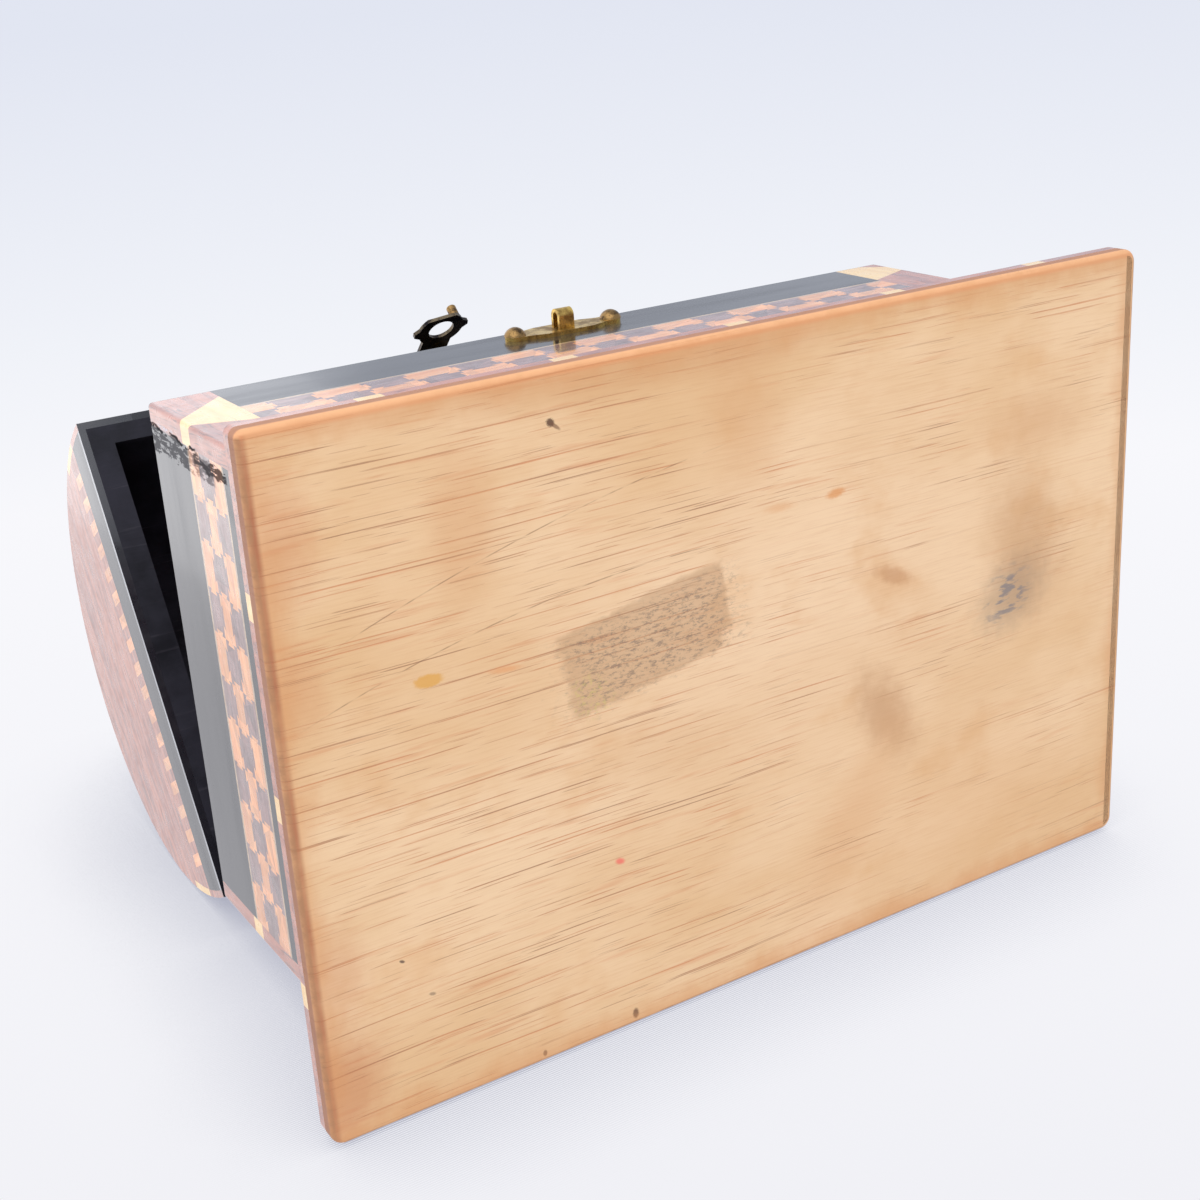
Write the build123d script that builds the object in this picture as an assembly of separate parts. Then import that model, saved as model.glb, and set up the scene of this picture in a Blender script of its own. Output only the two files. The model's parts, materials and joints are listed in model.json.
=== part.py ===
"""Marquetry casket with a barrel-vault lid, two butt hinges and a hasp.

Millimetres. +X is the box's right, -Y its front, +Z up. The origin is the centre of the
base board's underside. At rest the lid stands ajar and the hasp hangs a little off it.
The body sits off centre on its base board: everything but the base is drawn about the
body's own middle and moved to its place on the base as it is written.
"""

import math
import os
from build123d import *

# ---- driving dimensions ------------------------------------------------------------------
base_length = 182.0
base_depth = 124.0
base_ply = 3.0
base_round = 1.1
base_corner = 2.6
base_tight_corner = 1.5
border_thick = 2.0
inlay_width = 4.5
inlay_pitch = 34.0

left_overhang = 9.3
right_overhang = 4.7
front_overhang = 10.9
rear_overhang = 11.7
rim_height = 71.0
wall = 5.0
skin = 1.5
fit_gap = 0.2

corner_width = 11.5
corner_thick = 4.0
corner_round = 0.8
lemon_point_z = 52.3
lemon_point = 4.2
lemon_top = 66.0
lemon_bottom = 45.4
lemon_right_raise = 11.5

band_bottom = 36.0
front_band_raise = 3.5
row_height = 5.3
body_rows = 3
crown_rows = 5
stringing = 0.7
tile_pitch = 9.0
tab_depth = 0.8
tab_root = 0.20
tab_tip = 0.29

felt = 1.0
felt_drop = 1.5

lid_rise = 49.5
lid_gap = 0.3
lid_board = 4.0
lid_rest_angle = 30.5
lid_black = 13.0
lid_upper_black = 9.0
lid_rim_strip = 1.0
lid_end_band = 8.0
dash_height = 5.0
dash_width = 2.6
lid_lemon_bottom = 0.0
lid_lemon_top = 28.0
lid_lemon_point_z = 14.0
lid_lemon_point = 9.0

leaf_thick = 0.8
hinge_offset = 1.5
knuckle_radius = 1.2
hinge_pin_radius = 0.55
hinge_width = 16.0
hinge_leaf_height = 9.0
hinge_spacing = 100.0
knuckle_gap = 0.2
running_gap = 0.05

clasp_x = -0.6
clasp_offset = 1.5
clasp_above_rim = 4.4
clasp_reach = 10.2
clasp_sheet = 0.8
clasp_knuckle_radius = 1.1
clasp_pin_radius = 0.45
clasp_barrel = 10.0
clasp_flap_knuckle = 4.0
flap_rest_angle = 15.0
flap_ring_radius = 5.4
flap_hole_radius = 3.0
flap_skew = 10.0
flap_ear = 6.5
flap_neck_width = 7.0
tab_post_height = 2.8
tab_post_radius = 1.1

plate_length = 26.0
plate_height = 7.0
plate_end_height = 4.5
plate_thick = 0.8
leaf_height = 9.0
loop_width = 3.4
loop_height = 3.1
loop_stand = 4.6
loop_strap = 0.7

nail_spacing = 22.0
nail_head_radius = 2.2
nail_head_height = 1.7
small_head_radius = 1.3
small_head_height = 0.7
nail_shank_radius = 0.6
nail_length = 4.5

# ---- sizes worked out from them ----------------------------------------------------------
body_length = base_length - left_overhang - right_overhang
body_depth = base_depth - front_overhang - rear_overhang
body_place = Pos((left_overhang - right_overhang) / 2, (front_overhang - rear_overhang) / 2, 0)
half_length = body_length / 2
half_depth = body_depth / 2
panel_half_x = half_length - corner_width
panel_half_y = half_depth - corner_thick
core_half_x = half_length - skin
core_half_y = half_depth - skin
inner_half_x = core_half_x - wall
inner_half_y = core_half_y - wall
band_height = body_rows * row_height

lid_floor = rim_height + lid_gap
lid_radius = (half_depth**2 + lid_rise**2) / (2 * lid_rise)
lid_centre_z = lid_floor + lid_rise - lid_radius
hinge_axis = Axis((0, half_depth + hinge_offset, rim_height + lid_gap / 2), (1, 0, 0))
clasp_axis_z = lid_floor + clasp_above_rim
clasp_axis = Axis((0, -half_depth - clasp_offset, clasp_axis_z), (1, 0, 0))
loop_z = clasp_axis_z - clasp_reach

solids_by_node = {}
base_nodes = ("base_board", "base_border", "border_inlays")


def add(node, *shapes):
    """Collect shapes as the separate solids of one node."""
    found = [solid for shape in shapes for solid in shape.solids()]
    solids_by_node.setdefault(node, []).extend(found)


def block(x0, x1, y0, y1, z0, z1):
    """A box between two corners."""
    size = (x1 - x0, y1 - y0, z1 - z0)
    return Pos((x0 + x1) / 2, (y0 + y1) / 2, (z0 + z1) / 2) * Box(*size)


def along_x(face, x0, x1):
    """Extrude a face drawn in the YZ plane from x0 to x1."""
    return Pos(x0, 0, 0) * extrude(face, amount=x1 - x0)


def yz_polygon(points):
    """A face in the YZ plane through (y, z) points."""
    return Plane.YZ * make_face(Polyline(*points, close=True))


def xz_prism(points, y0, y1):
    """A prism between y0 and y1 whose outline is (x, z) points."""
    face = Plane.XZ * make_face(Polyline(*points, close=True))
    return Pos(0, y1, 0) * extrude(face, amount=y1 - y0)


def x_cylinder(radius, x0, x1, axis):
    """A cylinder along X on an axis."""
    place = Pos((x0 + x1) / 2, axis.position.Y, axis.position.Z)
    return place * Rot(0, 90, 0) * Cylinder(radius, x1 - x0)


def nail(head_radius, head_height):
    """A round-headed nail along +Z, its head seated on the XY plane."""
    ball_radius = (head_radius**2 + head_height**2) / (2 * head_height)
    ball = Pos(0, 0, head_height - ball_radius) * Sphere(ball_radius)
    head = ball & Pos(0, 0, ball_radius) * Box(*[2 * ball_radius] * 3)
    return head + Pos(0, 0, -nail_length / 2) * Cylinder(nail_shank_radius, nail_length)


def shank(place):
    """The hole that a nail's shank fills, for the same place as the nail."""
    return place * Pos(0, 0, -nail_length / 2) * Cylinder(nail_shank_radius, nail_length + 0.02)


# ---- marquetry tiles ---------------------------------------------------------------------
def column_edges(width, half_ends):
    """Column boundaries over a band's width, with half columns at its ends if asked."""
    if half_ends:
        count = max(2, 2 * round(width / tile_pitch / 2))
        pitch = width / count
        inner = [-width / 2 + pitch * (k + 0.5) for k in range(count)]
        return [-width / 2, *inner, width / 2]
    count = 2 * int(width / tile_pitch / 2) + 1
    return [width * (k / count - 0.5) for k in range(count + 1)]


def side_points(start, end, tab):
    """Points from start towards end, with a dovetail tab to the right of travel if tab is
    +1, to the left if -1 and none if 0. The end point is left out."""
    points = [start]
    if tab:
        run = (end[0] - start[0], end[1] - start[1])
        length = math.hypot(*run)
        normal = (run[1] / length, -run[0] / length)
        middle = (start[0] + run[0] / 2, start[1] + run[1] / 2)
        for share, depth in ((-tab_root, 0), (-tab_tip, 1), (tab_tip, 1), (tab_root, 0)):
            shift = tab * depth * tab_depth
            points.append((middle[0] + run[0] * share + normal[0] * shift,
                           middle[1] + run[1] * share + normal[1] * shift))
    return points


def tile_outline(u0, u1, v0, v1, light, inner_sides, full):
    """One tile. Light tiles have tabs left and right, dark ones above and below."""
    sideways = 1 if light else -1
    upright = -sideways if full else 0
    below, right, above, left = inner_sides
    return [*side_points((u0, v0), (u1, v0), upright if below else 0),
            *side_points((u1, v0), (u1, v1), sideways if right else 0),
            *side_points((u1, v1), (u0, v1), upright if above else 0),
            *side_points((u0, v1), (u0, v0), sideways if left else 0)]


def tile_band(face, width, half_ends):
    """The light and the dark tiles of one body band, upwards from the plane's own X axis."""
    edges = column_edges(width, half_ends)
    last = len(edges) - 2
    light_tiles, dark_tiles = [], []
    for column in range(last + 1):
        u0, u1 = edges[column], edges[column + 1]
        full = not half_ends or 0 < column < last
        for row in range(body_rows):
            v0 = row * row_height
            light = (column + row) % 2 == 0
            inner = (row > 0, column < last, row < body_rows - 1, column > 0)
            outline = tile_outline(u0, u1, v0, v0 + row_height, light, inner, full)
            tile = extrude(face * make_face(Polyline(*outline, close=True)), amount=-skin)
            (light_tiles if light else dark_tiles).append(tile)
    return light_tiles, dark_tiles


# ---- base --------------------------------------------------------------------------------
def base_slab(z0, z1):
    """A slab with the base's plan between two heights."""
    slab = block(-base_length / 2, base_length / 2, -base_depth / 2, base_depth / 2, z0, z1)
    uprights = slab.edges().filter_by(Axis.Z).sort_by(Axis.X)
    slab = fillet(uprights[2:] + uprights[:2].sort_by(Axis.Y)[1:], base_corner)
    front_left = slab.edges().filter_by(Axis.Z).sort_by(lambda edge: edge.center().X
                                                        + edge.center().Y)[0]
    return fillet(front_left, base_tight_corner)


def make_base():
    """Plywood board, its veneer border and the light inlays let into the border."""
    board = base_slab(0, base_ply)
    board = fillet(board.faces().sort_by(Axis.Z)[0].edges(), base_round)
    border_top = base_ply + border_thick
    border = base_slab(base_ply, border_top)
    footprint = body_place * block(-half_length, half_length, -half_depth, half_depth,
                                   base_ply, border_top)
    border -= footprint
    body_left, body_right = footprint.bounding_box().min.X, footprint.bounding_box().max.X
    body_front, body_rear = footprint.bounding_box().min.Y, footprint.bounding_box().max.Y
    reach_x, reach_y = base_length / 2, base_depth / 2
    count_x = int((half_length - inlay_width) / inlay_pitch)
    count_y = int((half_depth - inlay_width) / inlay_pitch)
    places = []
    for step in range(-count_x, count_x + 1):
        middle = step * inlay_pitch
        for y0, y1 in ((-reach_y, body_front), (body_rear, reach_y)):
            places.append((middle - inlay_width / 2, middle + inlay_width / 2, y0, y1))
    for step in range(-count_y, count_y + 1):
        middle = step * inlay_pitch
        for x0, x1 in ((-reach_x, body_left), (body_right, reach_x)):
            places.append((x0, x1, middle - inlay_width / 2, middle + inlay_width / 2))
    inlays = [block(*place, base_ply, border_top) for place in places]
    add("base_board", board)
    add("base_border", border - inlays)
    add("border_inlays", *inlays)


# ---- body --------------------------------------------------------------------------------
def lemon_prism(bottom, top, point_z, point, y0, y1):
    """A four-sided prism along Y that narrows towards the outer edge of the right corner."""
    return xz_prism([(half_length, point_z - point / 2), (half_length, point_z + point / 2),
                     (panel_half_x, top), (panel_half_x, bottom)], y0, y1)


def corner_shapes(raised):
    """Rosewood and lemonwood blocks of the right front corner, as prisms along Y."""
    front, back = -half_depth, -panel_half_y
    column = block(panel_half_x, half_length, front, back, base_ply, rim_height)
    rounded = column.edges().filter_by(Axis.Z).sort_by(Axis.X)[-2:].sort_by(Axis.Y)[0]
    column = fillet(rounded, corner_round)
    lemon = lemon_prism(lemon_bottom + raised, lemon_top + raised, lemon_point_z + raised,
                        lemon_point, front, back)
    return column - lemon, column & lemon


def make_corners():
    """Solid corner blocks, which also show on the end faces."""
    for side, raised in ((-1, 0), (1, lemon_right_raise)):
        shapes = zip(("corner_rosewood", "corner_lemonwood"), corner_shapes(raised))
        for node, shape in shapes:
            front = shape if side > 0 else mirror(shape, Plane.YZ)
            add(node, front, mirror(front, Plane.XZ))


def make_walls(front_shanks, rear_shanks):
    """Four core boards: front and rear run past the ends and are rebated for the corners."""
    front = block(-core_half_x, core_half_x, -core_half_y, -inner_half_y, base_ply, rim_height)
    for side in (-1, 1):
        x0, x1 = sorted((side * panel_half_x, side * half_length))
        front -= block(x0, x1, -half_depth, -panel_half_y, base_ply, rim_height)
    rear = mirror(front, Plane.XZ)
    add("front_wall", front - front_shanks)
    add("rear_wall", rear - rear_shanks)
    left = block(-core_half_x, -inner_half_x, -inner_half_y, inner_half_y, base_ply, rim_height)
    add("left_wall", left)
    add("right_wall", mirror(left, Plane.YZ))


def face_strips(bottom):
    """(role, bottom, top) of the strips above and below a face's tile band."""
    top = bottom + band_height
    return (("upper", top + stringing, rim_height), ("string", top, top + stringing),
            ("string", bottom - stringing, bottom), ("lower", base_ply, bottom - stringing))


def make_faces(front_shanks, rear_shanks):
    """Lacquered panels, stringing and tile bands on the four faces."""
    for name, holes, side in (("front", front_shanks, -1), ("rear", rear_shanks, 1)):
        y0, y1 = sorted((side * half_depth, side * core_half_y))
        bottom = band_bottom + (front_band_raise if name == "front" else 0)
        for role, z0, z1 in face_strips(bottom):
            strip = block(-panel_half_x, panel_half_x, y0, y1, z0, z1)
            node = {"upper": name + "_upper_panel", "string": "stringing",
                    "lower": "lower_panels"}[role]
            add(node, strip - holes)
        plane = Plane((0, side * half_depth, bottom), x_dir=(-side, 0, 0), z_dir=(0, side, 0))
        light_tiles, dark_tiles = tile_band(plane, 2 * panel_half_x, True)
        add(name + "_light_tiles", *light_tiles)
        add(name + "_dark_tiles", *dark_tiles)
    for name, side in (("left", -1), ("right", 1)):
        x0, x1 = sorted((side * half_length, side * core_half_x))
        for role, z0, z1 in face_strips(band_bottom):
            strip = block(x0, x1, -panel_half_y, panel_half_y, z0, z1)
            node = {"upper": name + "_upper_panel", "string": "stringing",
                    "lower": "lower_panels"}[role]
            add(node, strip)
        plane = Plane((side * half_length, 0, band_bottom), x_dir=(0, side, 0),
                      z_dir=(side, 0, 0))
        light_tiles, dark_tiles = tile_band(plane, 2 * panel_half_y, False)
        add(name + "_light_tiles", *light_tiles)
        add(name + "_dark_tiles", *dark_tiles)


def make_lining():
    """Felt on the floor and on the four inner faces."""
    x, y = inner_half_x - fit_gap, inner_half_y - fit_gap
    floor_top = base_ply + felt
    top = rim_height - felt_drop
    add("floor_felt", block(-x, x, -y, y, base_ply, floor_top))
    add("wall_felt",
        block(-x, x, -y, -y + felt, floor_top, top),
        block(-x, x, y - felt, y, floor_top, top),
        block(-x, -x + felt, -y + felt, y - felt, floor_top, top),
        block(x - felt, x, -y + felt, y - felt, floor_top, top))


# ---- hinges ------------------------------------------------------------------------------
def half_disc(radius):
    """Upper half disc in the YZ plane about the lid's arc centre, cut at the lid's rim."""
    window = Pos(0, lid_floor - lid_centre_z + radius / 2) * Rectangle(2 * radius, radius)
    return Plane.YZ * (Pos(0, lid_centre_z) * (Circle(radius) & window))


def dome_ring(inner, outer):
    """Upper half ring in the YZ plane between two radii about the lid's arc centre."""
    return half_disc(outer) - half_disc(inner)


def dome_place(arc_length, x, rear=False):
    """A place on the dome, arc_length up from the rim, whose Z points out of the surface."""
    angle = math.asin((lid_floor - lid_centre_z) / lid_radius) + arc_length / lid_radius
    side = 1 if rear else -1
    out = (0, side * math.cos(angle), math.sin(angle))
    point = (x, lid_radius * out[1], lid_centre_z + lid_radius * out[2])
    return Location(Plane(point, x_dir=(1, 0, 0), z_dir=out))


def hinge_nail_places(x, lid):
    """Where the two nails of a leaf go."""
    rise = hinge_leaf_height * 0.6
    for side in (-1, 1):
        spot = x + side * hinge_width * 0.3
        if lid:
            yield dome_place(rise, spot, rear=True) * Pos(0, 0, leaf_thick)
        else:
            point = (spot, half_depth + leaf_thick, rim_height - rise)
            yield Location(Plane(point, x_dir=(-1, 0, 0), z_dir=(0, 1, 0)))


def make_hinges():
    """Two butt hinges on the rear. The body leaf holds the pin, the lid leaf turns on it."""
    hinge_y, hinge_z = hinge_axis.position.Y, hinge_axis.position.Z
    third = hinge_width / 3
    lid_parts, body_holes, lid_holes = [], [], []
    for x in (-hinge_spacing / 2, hinge_spacing / 2):
        x0, x1 = x - hinge_width / 2, x + hinge_width / 2
        mid0, mid1 = x0 + third, x1 - third
        bore = x_cylinder(hinge_pin_radius, x0, x1, hinge_axis)
        loose = x_cylinder(hinge_pin_radius + running_gap, mid0, mid1, hinge_axis)
        plate = block(x0, x1, half_depth, half_depth + leaf_thick,
                      rim_height - hinge_leaf_height, hinge_z)
        body_leaf = plate + [x_cylinder(knuckle_radius, x0, mid0, hinge_axis),
                             x_cylinder(knuckle_radius, mid1, x1, hinge_axis)]
        body_leaf -= block(mid0, mid1, half_depth, hinge_y + knuckle_radius,
                           rim_height - 2 * knuckle_radius, hinge_z + knuckle_radius)
        body_leaf -= bore
        lid_plate = along_x(dome_ring(lid_radius, lid_radius + leaf_thick), x0, x1)
        lid_plate &= block(x0, x1, 0, hinge_y + knuckle_radius, lid_floor,
                           lid_floor + hinge_leaf_height)
        for span in ((x0, mid0 + knuckle_gap), (mid1 - knuckle_gap, x1)):
            lid_plate -= block(*span, 0, hinge_y + knuckle_radius, lid_floor,
                               lid_floor + 2 * knuckle_radius)
        web = block(mid0 + knuckle_gap, mid1 - knuckle_gap, half_depth, hinge_y, hinge_z,
                    lid_floor + leaf_thick) & along_x(
                        dome_ring(lid_radius, lid_radius + 2 * hinge_offset), x0, x1)
        barrel = x_cylinder(knuckle_radius, mid0 + knuckle_gap, mid1 - knuckle_gap, hinge_axis)
        lid_leaf = (lid_plate + barrel + web) - loose
        body_places = list(hinge_nail_places(x, False))
        lid_places = list(hinge_nail_places(x, True))
        body_holes += [shank(place) for place in body_places]
        lid_holes += [shank(place) for place in lid_places]
        add("body_hinge_leaves", body_leaf - [shank(place) for place in body_places])
        add("hinge_pins", bore)
        head = (small_head_radius, small_head_height)
        add("body_hinge_nails", *[place * nail(*head) for place in body_places])
        lid_parts.append(("lid_hinge_leaves",
                          lid_leaf - [shank(place) for place in lid_places]))
        lid_parts += [("lid_hinge_nails", place * nail(*head)) for place in lid_places]
    return lid_parts, body_holes, lid_holes


# ---- clasp -------------------------------------------------------------------------------
def plate_outline(length, height, end_height):
    """A plate that is waisted to rounded ends, as (x, z) about its middle."""
    middle = make_face(Polyline((-length * 0.2, -height / 2), (length * 0.2, -height / 2),
                                (length * 0.34, -end_height / 2),
                                (length * 0.34, end_height / 2), (length * 0.2, height / 2),
                                (-length * 0.2, height / 2), (-length * 0.34, end_height / 2),
                                (-length * 0.34, -end_height / 2), close=True))
    bar = SlotOverall(length, end_height)
    return middle + bar


def make_staple():
    """Nailed plate with a loop that the hasp drops over; a peg would pass along X."""
    face_y = -half_depth
    face = Plane((clasp_x, face_y, loop_z), x_dir=(1, 0, 0), z_dir=(0, -1, 0))
    plate = extrude(face * plate_outline(plate_length, plate_height, plate_end_height),
                    amount=plate_thick)
    places = [Location(face) * Pos(side * nail_spacing / 2, 0, plate_thick) for side in (-1, 1)]
    holes = [shank(place) for place in places]
    x0, x1 = clasp_x - loop_width / 2, clasp_x + loop_width / 2

    def loop_profile(half, stand):
        centre = face_y - stand + half
        straight = Pos(face_y - (stand - half) / 2, loop_z) * Rectangle(stand - half, 2 * half)
        return straight + Pos(centre, loop_z) * Circle(half)

    outer = loop_profile(loop_height / 2, loop_stand)
    inner = loop_profile(loop_height / 2 - loop_strap, loop_stand - loop_strap)
    foot = block(x0, x1, face_y - plate_thick, face_y, loop_z - plate_height, loop_z + plate_height)
    loop = along_x(Plane.YZ * (outer - inner), x0, x1) - foot
    add("staple_plate", plate - holes)
    add("staple_loop", loop)
    add("staple_nails", *[place * nail(nail_head_radius, nail_head_height) for place in places])
    return holes


def make_hasp():
    """Leaf bent to the lid's curve, pin and swinging flap, all drawn with the lid shut."""
    x0, x1 = clasp_x - clasp_barrel / 2, clasp_x + clasp_barrel / 2
    mid0, mid1 = clasp_x - clasp_flap_knuckle / 2, clasp_x + clasp_flap_knuckle / 2
    axis_y, axis_z = clasp_axis.position.Y, clasp_axis.position.Z
    pin = x_cylinder(clasp_pin_radius, x0, x1, clasp_axis)
    outline = Plane((clasp_x, 0, axis_z + leaf_height / 2), x_dir=(1, 0, 0), z_dir=(0, -1, 0))
    blank = extrude(outline * plate_outline(plate_length, leaf_height, plate_end_height),
                    amount=2 * half_depth)
    leaf = along_x(dome_ring(lid_radius, lid_radius + plate_thick), clasp_x - plate_length,
                   clasp_x + plate_length) & blank
    ends = ((x0, mid0 - knuckle_gap), (mid1 + knuckle_gap, x1))
    for span in ends:
        leaf += x_cylinder(clasp_knuckle_radius, *span, clasp_axis)
    leaf -= block(mid0 - knuckle_gap, mid1 + knuckle_gap, axis_y - clasp_knuckle_radius, 0,
                  axis_z - clasp_knuckle_radius, axis_z + clasp_knuckle_radius + knuckle_gap)
    leaf -= pin
    nail_rise = clasp_above_rim + leaf_height / 2
    places = [dome_place(nail_rise, clasp_x + side * nail_spacing / 2) * Pos(0, 0, plate_thick)
              for side in (-1, 1)]
    holes = [shank(place) for place in places]
    lid_parts = [("hasp_leaf", leaf - holes), ("hasp_pin", pin)]
    lid_parts += [("hasp_nails", place * nail(nail_head_radius, nail_head_height))
                  for place in places]

    sheet = Plane((clasp_x, axis_y, loop_z), x_dir=(1, 0, 0), z_dir=(0, -1, 0))
    ring = Circle(flap_ring_radius) + make_face(
        Polyline((-flap_ear, 0.6), (-flap_ear, -0.6), (0, -flap_ring_radius),
                 (flap_ear, -0.6), (flap_ear, 0.6), (0, flap_ring_radius), close=True))
    ring &= Pos(0, flap_ring_radius - clasp_reach * 0.42) * Rectangle(
        4 * flap_ring_radius, 2 * flap_ring_radius)
    ring = Rot(0, 0, -flap_skew) * ring
    neck = Pos(0, clasp_reach / 2) * Rectangle(flap_neck_width, clasp_reach)
    shape = ring + neck - Circle(flap_hole_radius)
    flap = Pos(0, clasp_sheet / 2, 0) * extrude(sheet * shape, amount=clasp_sheet)
    for span in ends:
        flap -= block(span[0] - knuckle_gap, span[1] + knuckle_gap,
                      axis_y - 2 * clasp_knuckle_radius, axis_y + 2 * clasp_knuckle_radius,
                      axis_z - clasp_knuckle_radius - knuckle_gap, axis_z + clasp_knuckle_radius)
    flap += x_cylinder(clasp_knuckle_radius, mid0, mid1, clasp_axis)
    flap -= x_cylinder(clasp_pin_radius + running_gap, mid0, mid1, clasp_axis)
    post_place = Plane((clasp_x + flap_hole_radius, axis_y - clasp_sheet / 2,
                        loop_z - flap_hole_radius), z_dir=(0, -1, 0))
    post = extrude(post_place * Circle(tab_post_radius), amount=tab_post_height)
    post = fillet(post.faces().sort_by(Axis.Y)[0].edges(), tab_post_radius * 0.4)
    return lid_parts, holes, [("hasp_flap", flap), ("hasp_post", post)]


# ---- lid ---------------------------------------------------------------------------------
def sector(start, end):
    """The part of the dome's veneer between two arc lengths up from the front rim."""
    low_angle = math.asin((lid_floor - lid_centre_z) / lid_radius)
    reach = 2 * lid_radius
    points = [(0, lid_centre_z)]
    for arc_length in (start, (start + end) / 2, end):
        angle = low_angle + arc_length / lid_radius
        points.append((-reach * math.cos(angle), lid_centre_z + reach * math.sin(angle)))
    return dome_ring(lid_radius - skin, lid_radius) & yz_polygon(points)


def dome_strips():
    """(node, start, end) of each lengthwise veneer strip, from the front rim to the rear."""
    half_arc = lid_radius * (math.pi / 2 - math.asin((lid_floor - lid_centre_z) / lid_radius))
    crown = crown_rows * row_height / 2
    marks = [("lid_black_strips", lid_black), ("lid_stringing", stringing),
             ("lid_edge_mosaics", body_rows * row_height), ("lid_stringing", stringing),
             ("lid_black_strips", lid_upper_black), ("lid_stringing", stringing)]
    used = sum(width for _, width in marks)
    marks.append(("lid_rosewood_fields", half_arc - used - crown - stringing))
    marks.append(("lid_stringing", stringing))
    strips, start = [], 0.0
    for node, width in marks:
        strips.append((node, start, start + width))
        strips.append((node, 2 * half_arc - start - width, 2 * half_arc - start))
        start += width
    strips.append(("lid_crown_mosaic", start, 2 * half_arc - start))
    return strips


def make_lid(holes):
    """Dome board, end boards, and the veneers on the dome and on both ends."""
    parts = []
    board_radius = lid_radius - skin
    board = along_x(dome_ring(board_radius - lid_board, board_radius), -inner_half_x, inner_half_x)
    parts.append(("dome_board", board - holes))
    disc = half_disc(board_radius)
    left_end = along_x(disc, -core_half_x, -inner_half_x)
    parts += [("lid_left_end", left_end), ("lid_right_end", mirror(left_end, Plane.YZ))]

    for node, start, end in dome_strips():
        strip = along_x(sector(start, end), -panel_half_x, panel_half_x)
        parts.append((node, strip - holes))

    column = along_x(dome_ring(board_radius, lid_radius), panel_half_x, half_length)
    lemon = lemon_prism(lid_floor + lid_lemon_bottom, lid_floor + lid_lemon_top,
                        lid_floor + lid_lemon_point_z, lid_lemon_point,
                        -2 * half_depth, 2 * half_depth)
    for side in (column, mirror(column, Plane.YZ)):
        cut = lemon if side is column else mirror(lemon, Plane.YZ)
        parts.append(("lid_corner_rosewood", side - cut))
        parts.append(("lid_corner_lemonwood", side & cut))

    face = along_x(disc, -half_length, -core_half_x)
    levels = [lid_floor, lid_floor + lid_rim_strip, lid_floor + lid_rim_strip + lid_end_band]
    dash_top = levels[2] + dash_height

    def slice_of(z0, z1, y0=-half_depth, y1=half_depth):
        return face & block(-half_length, -core_half_x, y0, y1, z0, z1)

    left = [("lid_rim_strips", slice_of(levels[0], levels[1])),
            ("lid_end_bands", slice_of(levels[1], levels[2])),
            ("lid_left_field", slice_of(dash_top, lid_floor + lid_rise))]
    span = math.sqrt(board_radius**2 - (dash_top - lid_centre_z) ** 2) - dash_width
    count = int(span / dash_width / 2)
    dashes = [slice_of(levels[2], dash_top, 2 * k * dash_width - dash_width / 2,
                       2 * k * dash_width + dash_width / 2) for k in range(-count, count + 1)]
    row = slice_of(levels[2], dash_top)
    for dash in dashes:
        row -= dash
        left.append(("lid_dashes", dash))
    left.append(("lid_dash_ground", row))
    for node, shape in left:
        parts.append((node, shape))
        parts.append((node.replace("left", "right"), mirror(shape, Plane.YZ)))
    return parts


# ---- assembly ----------------------------------------------------------------------------
def build():
    """Make every node in place, with the lid and the hasp turned to their rest angles."""
    lid_parts, rear_holes, lid_holes = make_hinges()
    front_holes = make_staple()
    hasp_on_lid, leaf_holes, flap_parts = make_hasp()
    make_base()
    make_walls(front_holes, rear_holes)
    make_corners()
    make_faces(front_holes, rear_holes)
    make_lining()
    lid_parts += hasp_on_lid + make_lid(lid_holes + leaf_holes)
    for node, shape in flap_parts:
        lid_parts.append((node, shape.rotate(clasp_axis, -flap_rest_angle)))
    for node, shape in lid_parts:
        add(node, shape.rotate(hinge_axis, -lid_rest_angle))


build()
os.makedirs("parts", exist_ok=True)
for node, solids in sorted(solids_by_node.items()):
    if node not in base_nodes:
        solids = [body_place * solid for solid in solids]
    export_step(solids[0] if len(solids) == 1 else Compound(children=solids),
                f"parts/{node}.step")
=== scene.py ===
"""Looks for the marquetry casket: finishes, lid mosaics, felt lining, studio and camera.

Metres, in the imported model's frame: +X right, -Y front, +Z up. Material helpers work in
millimetres of the same frame, so that a mark on the wood is placed where it lies.
"""

import json
import math

import bmesh
import bpy
import numpy as np
from mathutils import Matrix, Vector, noise

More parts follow.
